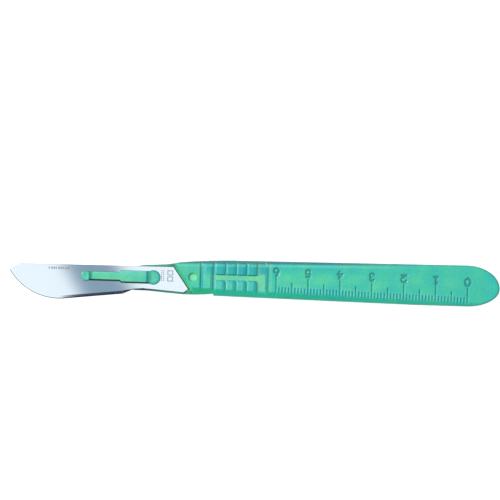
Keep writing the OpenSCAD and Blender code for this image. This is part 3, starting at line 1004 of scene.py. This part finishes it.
# Painted shade in the pocket's rear corner above the spine
PAINTED_CORNER_SHADE = (0.035, 0.21, 0.13)
PATCH = (0.075, 0.5, 0.29)
HEAD = (0.07, 0.44, 0.3)
BUTT_FACE = (0.015, 0.42, 0.37)
# Painted shade on the nose's lower bevel
NOSE_BEVEL_PAINTED_SHADE = (0.012, 0.4, 0.21)

# Yellower patches of the face: centre, half length, half width and strength
PATCHES = (
    (-85.2, -1.7, 1.9, 1.7, 0.7), (-81.4, -1.4, 1.2, 2.8, 0.8), (-56.5, 0.0, 5.5, 2.0, 0.5),
    (-45.0, 0.2, 7.0, 2.0, 0.6), (-34.5, 0.8, 5.0, 2.0, 0.5), (-28.0, -0.8, 4.0, 1.6, 0.5),
    (-18.0, 1.3, 5.0, 2.4, 0.4), (-5.0, 1.0, 5.0, 2.2, 0.3), (-52.0, -2.0, 5.0, 1.3, 0.6),
)

CHANNEL_Y = (UPPER_PAD_Y + LOWER_PAD_Y) / 2

# Steel: painted shade of the facets beside the flats, how level flat, ground and honed faces are at
# least, and where the painted shadow along the shank ends
HONED_PAINTED_SHADE, CHAMFER_PAINTED_SHADE, SHANK_PAINTED_SHADOW = 0.42, 0.4, 0.16
FLAT_LEVEL, GROUND_LEVEL, HONED_LEVEL = 0.999, 0.97, 0.85
SHANK_PAINTED_SHADOW_END = (-99.8, -3.7)


def bump_at(x, centre, half, soft):
    """1 within half of the centre, fading to 0 over the soft width."""
    return 1 - smoothstep(half, half + soft, np.abs(x - centre))


def blend(colour, shade, share):
    """The colours with a shade laid over them, by its share at each point."""
    share = np.clip(share, 0, 1)[:, None]
    return colour * (1 - share) + np.array(shade) * share


def nose_share(x):
    """1 in front of the grip and 0 behind."""
    return 1 - smoothstep(RECESS_X[0] - 0.9, RECESS_X[0] - 0.1, x)


def face_pigment(x, y):
    """The nose, the grip, the ruler's face and the butt, without their relief."""
    nose = nose_share(x)
    grip = smoothstep(RECESS_X[0] - 0.8, RECESS_X[0] + 0.2, x)
    grip = grip * (1 - smoothstep(RECESS_X[1] - 0.5, RECESS_X[1] + 0.5, x))
    c = blend(np.tile(FACE, (len(x), 1)), NOSE_FACE, nose)
    c = blend(c, UPPER_PAD, bump_at(x, RECESS_X[0] - 1.7, 0.9, 0.5) * smoothstep(1.0, 2.8, y) * 0.8)
    blue = smoothstep(1.5, 4.5, y) * (1 - smoothstep(-50, -15, x)) * (1 - nose)
    c = blend(c, BLUE_FACE, blue * 0.35)
    for cx, cy, rx, ry, share in PATCHES:
        far = np.hypot((x - cx) / rx, (y - cy) / ry)
        c = blend(c, PATCH, (1 - smoothstep(0.3, 1.2, far)) * share)
    c = blend(c, BUTT_FACE, smoothstep(4, 9, x) * 0.7)
    c = blend(c, UPPER_PAD, grip * smoothstep(0, 1.5, y))
    return blend(c, LOWER_PAD, grip * (1 - smoothstep(-0.5, 0.8, y)))


def grip_colour_and_painted_shade(c, x, y):
    """Pads with a painted highlight on their borders, pale channels between them and painted shade
    along their feet.
    """
    recess, pad = recess_share(x), pad_distance(x, y)
    edge = recess * bump_at(pad, -0.35, 0.15, 0.2)
    low_edge = edge * smoothstep(-1.9, -1.0, y) * (1 - smoothstep(-0.5, 0.5, y))
    c = blend(c, PAINTED_EDGE_GLINT, edge * smoothstep(0, 1.5, y) * 0.25)
    c = blend(c, PAINTED_EDGE_GLINT, low_edge * 0.6)
    last_pad = PAD_X0 + (PAD_COLUMNS - 1) * PAD_PITCH + PAD_L
    end = smoothstep(last_pad + 0.2, last_pad + 0.6, x)
    thin = np.maximum(bump_at(y, CHANNEL_Y, 0.75, 0.3), end * (1 - smoothstep(0.8, 2.4, y)))
    c = blend(c, THIN, recess * smoothstep(-0.1, 0.12, pad) * thin)
    c = blend(c, UPPER_PAD, recess * end * smoothstep(1.2, 2.6, y))
    upper_foot = bump_at(pad, 0.12, 0.12, 0.15) * bump_at(y, UPPER_PAD_Y, 0.3, 0.15)
    lower_foot = bump_at(pad, 0.1, 0.08, 0.12) * bump_at(y, LOWER_PAD_Y, 0.25, 0.15)
    c = blend(c, PAINTED_PAD_FOOT_SHADE, recess * upper_foot * 0.9)
    return blend(c, PAINTED_GROOVE_SHADE, recess * lower_foot * 0.7)


def painted_band_shading(c, x, y):
    """Bands of painted shade and then of painted highlight across the handle, though not over the
    middle channel.
    """
    off_middle = 1 - bump_at(y, CHANNEL_Y, 0.85, 0.2)
    bands = [(NOSE_GROOVE_X + 0.15, 0.4, 1.0), (RECESS_X[0] - 0.4, 0.3, 1.0)]
    for i in range(PAD_COLUMNS):
        bands.append((PAD_X0 + i * PAD_PITCH + PAD_L - 0.5, 0.3, off_middle))
    c = blend(c, PAINTED_DEEP_SHADE, bump_at(x, RECESS_X[1] + 0.25, 0.4, 0.35) * 0.95)
    c = blend(c, PAINTED_LIP_HIGHLIGHT, bump_at(x, RECESS_X[1] + 1.35, 0.35, 0.4) * 0.8)
    for centre, half, where in bands:
        c = blend(c, PAINTED_BAND_SHADE, bump_at(x, centre, half, 0.25) * 0.85 * where)
        c = blend(c, PAINTED_HIGHLIGHT, bump_at(x, centre + half + 0.6, 0.4, 0.15) * 0.65 * where)
    return c


def dimple_colour_and_painted_shade(c, x, y):
    """The dimple: pale inside, with painted shade on its rim, strongest on its upper left."""
    u, v = x - DIMPLE_X, y - DIMPLE_Y
    r = np.hypot(u, v)
    corner = smoothstep(-0.2, 0.9, (v - u) / np.maximum(r, 0.1) / 1.41)
    c = blend(c, THINNEST, dimple_depth(x, y) / DIMPLE_DEPTH)
    return blend(c, PAINTED_SLOPE_SHADE, bump_at(r, DIMPLE_R - 0.05, 0.12, 0.2) * (0.15 + 0.5 * corner))


def ruler_painted_light(c, x, y):
    """The ruler: a painted highlight along its feet, and painted shade in its engraved lines with a
    painted highlight on their butt's side.
    """
    foot = y - flat_low(x)
    on_ruler = smoothstep(-RULER_L - 1.5, -RULER_L, x) * (1 - smoothstep(-1, 1, x))
    c = blend(c, PAINTED_HIGHLIGHT, bump_at(foot, 0.9, 0.9, 0.7) * on_ruler * 0.3)
    c = blend(c, PAINTED_EDGE_GLINT, bump_at(foot, 0.5, 0.5, 0.7) * on_ruler * 0.35)
    c = blend(c, PAINTED_HIGHLIGHT, ruler_depth(x - 0.3, y) / LINE_DEPTH * 0.3)
    strength = 0.4 + 0.5 * smoothstep(CM_MARK, CM_MARK + 0.4, foot)
    line = np.clip(1.4 * ruler_depth(x, y) / LINE_DEPTH, 0, 1)
    return blend(c, PAINTED_ENGRAVING_SHADE, line * strength)


def bevel_painted_shade(c, x, y):
    """Painted shade on the lower bevel, a painted dark reflection on the upper bevel with a painted
    highlight below it, and painted shade round the rim.
    """
    above = y - flat_high(x)
    low = smoothstep(-0.25, 0.35, flat_low(x) - y)
    c = blend(c, LOW_BEVEL_PAINTED_SHADE, low)
    c = blend(c, FACE, low * smoothstep(-55, -15, x) * 0.5)
    c = blend(c, NOSE_BEVEL_PAINTED_SHADE, low * nose_share(x))
    fade = 1 - smoothstep(-45, -5, x)
    c = blend(c, PAINTED_HIGHLIGHT, bump_at(above, -0.45, 0.25, 0.3) * 0.7 * fade)
    c = blend(c, HIGH_BEVEL_PAINTED_SHADE, smoothstep(-0.1, 0.3, above) * (0.25 + 0.75 * fade))
    return blend(c, HIGH_BEVEL_PAINTED_SHADE, (1 - smoothstep(0.1, 0.42, inside_distance(x, y))) * 0.6)


def pocket_painted_shade(c, x, y):
    """Painted shade on the slope behind the blade, painted shadow along its foot and lower corner and
    on the tang under the blade, lighter by the spine and the tang's lower border, and painted shade in
    the rear corner.
    """
    back = behind_line(x, y, REAR_CORNER, REAR_HIGH)
    corner = behind_line(x, y, REAR_LOW, REAR_CORNER)
    seat = 1 - smoothstep(-0.05, 0.1, np.maximum(back, corner))
    c = blend(c, PAINTED_SLOPE_SHADE, bump_at(back, 0.75, 0.4, 0.35) * smoothstep(-4.9, -3.6, y))
    c = blend(c, PAINTED_LINE_SHADOW, bump_at(back, 0.15, 0.08, 0.15) * 0.8)
    c = blend(c, PAINTED_GAP_SHADOW, bump_at(corner, 0.15, 0.25, 0.15) * (1 - smoothstep(-4.0, -3.3, y)))
    c = blend(c, PAINTED_SHADOW_UNDER_BLADE, seat)
    c = blend(c, PAINTED_LEDGE_SHADE, seat * smoothstep(2.9, 3.3, y) * smoothstep(-104, -102.5, x))
    far = np.hypot((x - REAR_HIGH[0] + 0.5) / 1.4, (y - REAR_HIGH[1] - 0.55) / 0.8)
    c = blend(c, PAINTED_CORNER_SHADE, 1 - smoothstep(0.5, 1.2, far))
    low_border = (1 - smoothstep(-4.6, -4.2, y)) * smoothstep(-101, -97, x)
    return blend(c, PAINTED_SLOPE_SHADE, seat * low_border * 0.5)


def handle_colour_and_painted_light(x, y, front):
    """The plastic's colour at each point of the handle, with painted light and painted shade, on its
    face or on its back.
    """
    c = painted_band_shading(grip_colour_and_painted_shade(face_pigment(x, y), x, y), x, y)
    if front:
        c = ruler_painted_light(dimple_colour_and_painted_shade(c, x, y), x, y)
    c = bevel_painted_shade(c, x, y)
    return pocket_painted_shade(c, x, y) if front else c


def on_own_axes(co):
    """Metres in the frame to millimetres on the handle's axes."""
    return co.reshape(-1, 3) / MM - np.array([ZERO_X, MID_Y, 0])


def points_of(ob):
    co = np.empty(len(ob.data.vertices) * 3)
    ob.data.vertices.foreach_get("co", co)
    return on_own_axes(co)


def paint(ob, colours):
    """Puts a colour, with its painted light and shade, on every vertex, for the material to mix with
    its mottling.
    """
    layer = ob.data.color_attributes.new("colour_with_painted_light", "FLOAT_COLOR", "POINT")
    layer.data.foreach_set("color", np.column_stack([colours, np.ones(len(colours))]).ravel())


def paint_handle(ob):
    x, y, z = points_of(ob).T
    face, back = handle_colour_and_painted_light(x, y, True), handle_colour_and_painted_light(x, y, False)
    paint(ob, np.where(z[:, None] > FACE_Z * 0.4, face, back))


def paint_head(ob, centre, radius, flat_x):
    """A staked head: pale on top, with painted shade on its rim and low sides and on its side towards
    the bar.
    """
    x, y, z = points_of(ob).T
    r = np.hypot(x - centre[0], y - centre[1]) / radius
    low = 1 - smoothstep(BLADE_TOP + 0.25, HEAD_TOP - 0.05, z)
    rim = np.maximum(smoothstep(0.62, 0.88, r), low)
    c = blend(np.tile(HEAD, (len(x), 1)), PAINTED_GROOVE_SHADE, rim * 0.8)
    c = blend(c, PAINTED_SEAM_SHADE, bump_at(x, flat_x, 0.35, 0.45) * 0.9)
    paint(ob, blend(c, PAINTED_LINE_SHADOW, smoothstep(0.9, 1.0, r) * 0.9))


def paint_bar(ob):
    """The bar: a painted highlight on its upper side, painted shadow on its lower flank, painted shade
    on its upper flank and at both ends, and a painted glint near its rear end.
    """
    x, y, z = points_of(ob).T
    flank = BAR_TOP - BAR_REAR_DROP * smoothstep(*BAR_SEAM_X, x) - z
    c = blend(np.tile(HEAD, (len(x), 1)), THIN, bump_at(x, -111, 4, 4) * 0.3)
    c = blend(c, PAINTED_HIGHLIGHT, smoothstep(0.1, 0.9, y) * 0.6)
    c = blend(c, PAINTED_GAP_SHADOW, smoothstep(0.08, 0.25, flank) * (y < 0))
    c = blend(c, PAINTED_GROOVE_SHADE, smoothstep(0.15, 0.35, flank) * (y > 0) * 0.7)
    c = blend(c, PAINTED_EDGE_GLINT, bump_at(x, -101.2, 0.1, 0.4) * 0.5)
    c = blend(c, PAINTED_SEAM_SHADE, smoothstep(-101.0, -100.3, x))
    paint(ob, blend(c, PAINTED_SEAM_SHADE, (1 - smoothstep(-117.9, -117.2, x)) * 0.9))


def paint_blade(ob):
    """Painted shade for each face: the narrow facets are darker than the flats and the grind, and a
    painted shadow lies along the shank.
    """
    mesh = ob.data
    count = len(mesh.polygons)
    normals, centres, corners = np.empty(count * 3), np.empty(count * 3), np.empty(count, int)
    mesh.polygons.foreach_get("normal", normals)
    mesh.polygons.foreach_get("center", centres)
    mesh.polygons.foreach_get("loop_total", corners)
    level = np.abs(normals.reshape(-1, 3)[:, 2])
    shade = np.where(level > HONED_LEVEL, HONED_PAINTED_SHADE, CHAMFER_PAINTED_SHADE)
    shade = np.where(level > GROUND_LEVEL, 1.0, shade)
    x, y, _ = on_own_axes(centres).T
    on_shank = (x > EDGE_END_X) & (x < SHANK_PAINTED_SHADOW_END[0]) & (y < SHANK_PAINTED_SHADOW_END[1])
    shade[on_shank & (level < FLAT_LEVEL)] = SHANK_PAINTED_SHADOW
    layer = mesh.color_attributes.new("colour_with_painted_light", "FLOAT_COLOR", "CORNER")
    grey = np.repeat(shade, corners)[:, None]
    layer.data.foreach_set("color", np.hstack([grey, grey, grey, np.ones_like(grey)]).ravel())


# -------------------- the scene
def add(piece, material, node=None):
    """Gives a piece its material and its body, and the CAD node that it stands for."""
    piece.data.materials.append(material)
    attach(piece, "root")
    if node:
        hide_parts(node)


make_camera()
make_floor()
make_light()
make_flags()

plastic = moulded_plastic()
handle = loft("handle_shell", handle_points())
paint_handle(handle)
add(handle, plastic, "handle")
bar = make_bar()
paint_bar(bar)
add(bar, plastic)
blade = make_blade()
paint_blade(blade)
add(blade, ground_steel(), "blade")
add(make_marks(), etched_steel())
for name, centre, radius, flat_x in (
        ("front", FRONT_HEAD, FRONT_HEAD_R, FRONT_HEAD_FLAT_X),
        ("rear", REAR_HEAD, REAR_HEAD_R, REAR_HEAD_FLAT_X)):
    head = make_head(name + "_head", centre, radius, flat_x)
    paint_head(head, centre, radius, flat_x)
    add(head, plastic, name + "_stake_head")

bpy.context.scene.view_settings.view_transform = "Standard"
